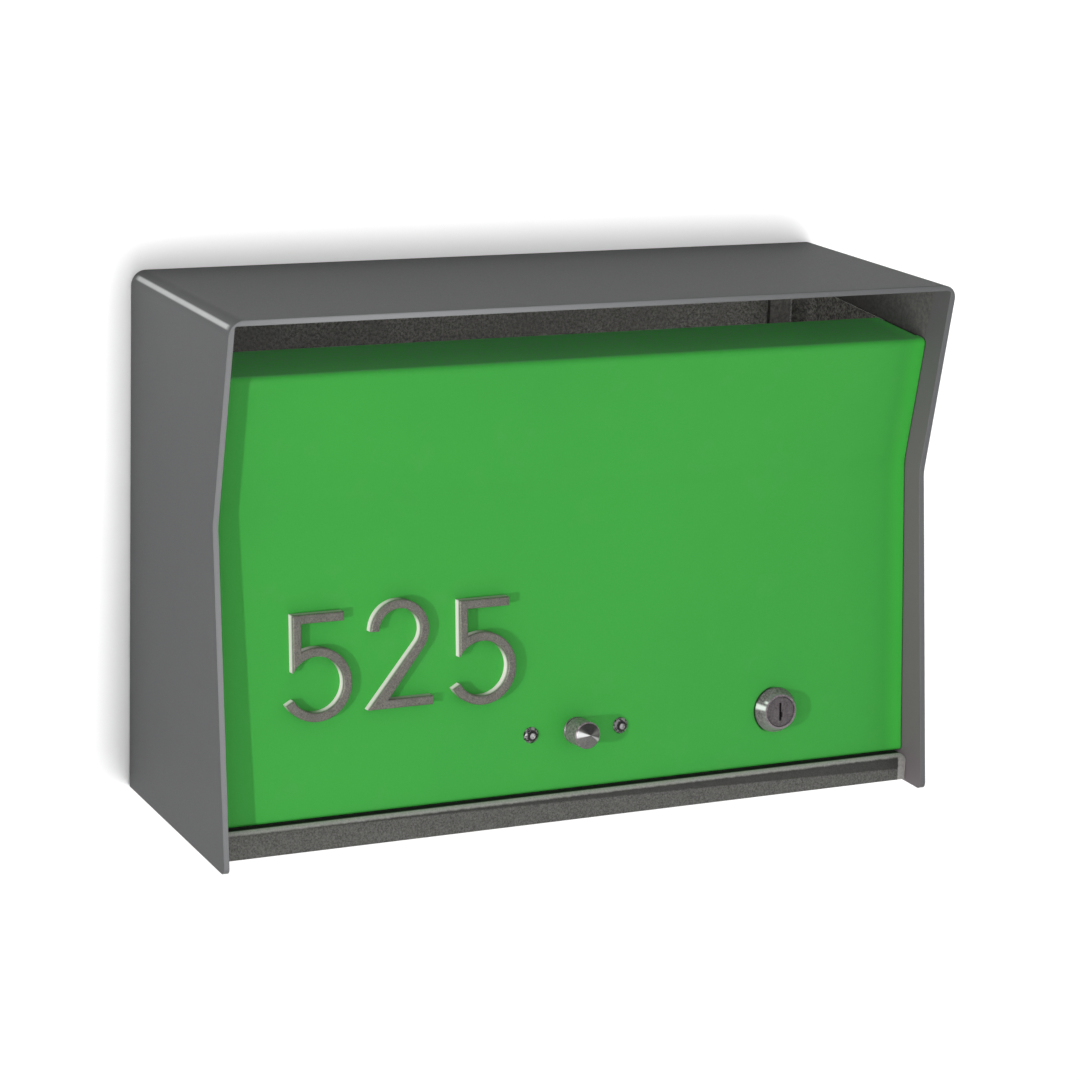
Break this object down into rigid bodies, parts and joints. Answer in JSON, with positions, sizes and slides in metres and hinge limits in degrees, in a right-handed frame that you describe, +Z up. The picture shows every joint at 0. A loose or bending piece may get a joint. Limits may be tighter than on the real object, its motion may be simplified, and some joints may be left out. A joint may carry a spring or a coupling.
{
  "type": "wall mounted mailbox",
  "caption": "Wall mounted mailbox with a hooded drop-in slot, a top-hung folded door, a pull knob, a cam lock and metal house numbers.",
  "frame": {"origin": "centre of the four wall screws, on the wall plane, at mid height", "axes": "+X to the right seen from the front, +Y into the wall, +Z up"},
  "size_m": [0.387, 0.1426, 0.266],
  "materials": {
    "casing_paint": "satin powder coat, charcoal grey",
    "door_paint": "satin powder coat, bright green",
    "liner_paint": "dark textured powder coat",
    "bare_steel": "weathered bare steel sheet",
    "zinc": "zinc plated",
    "stainless": "turned stainless steel",
    "brushed_nickel": "brushed nickel",
    "chrome": "polished chrome",
    "lock_face": "satin chrome",
    "nylon": "natural nylon",
    "black_plastic": "moulded black plastic",
    "rubber": "soft black rubber"
  },
  "bodies": {
    "casing": {"outer_casing": "casing_paint", "back_panel": "liner_paint", "inner_liner_left": "liner_paint", "inner_liner_right": "liner_paint", "bottom_pan": "bare_steel", "liner_rivets_left": "zinc", "liner_rivets_right": "zinc", "top_rivets": "zinc", "pan_rivets": "zinc", "hinge_pin_left": "zinc", "hinge_pin_right": "zinc", "hinge_clip_left": "zinc", "hinge_clip_right": "zinc", "bumper_left": "rubber", "bumper_right": "rubber", "magnetic_catch": "black_plastic", "catch_plates": "zinc"},
    "door": {"door_panel": "door_paint", "hinge_arm_left": "zinc", "hinge_arm_right": "zinc", "hinge_bushing_left": "nylon", "hinge_bushing_right": "nylon", "pull_knob": "stainless", "knob_screw": "zinc", "bracket_plate": "zinc", "bracket_screws": "chrome", "bracket_nuts": "zinc", "house_number_5_left": "brushed_nickel", "house_number_2": "brushed_nickel", "house_number_5_right": "brushed_nickel", "number_stud_nuts": "zinc", "lock_housing": "chrome", "lock_nut": "zinc"},
    "lock_plug": {"lock_plug": "lock_face", "lock_cam": "zinc", "cam_screw": "zinc"}
  },
  "joints": [
    {"name": "door_swing", "type": "hinge", "parent": "casing", "child": "door", "pos_m": [0, -0.1055, 0.089], "axis": [-1, 0, 0], "range_deg": [0, 105]},
    {"name": "lock_turn", "type": "hinge", "parent": "door", "child": "lock_plug", "pos_m": [0.1143, -0.11954, -0.0884], "axis": [0, -0.9957, 0.0929], "range_deg": [0, 90]}
  ]
}
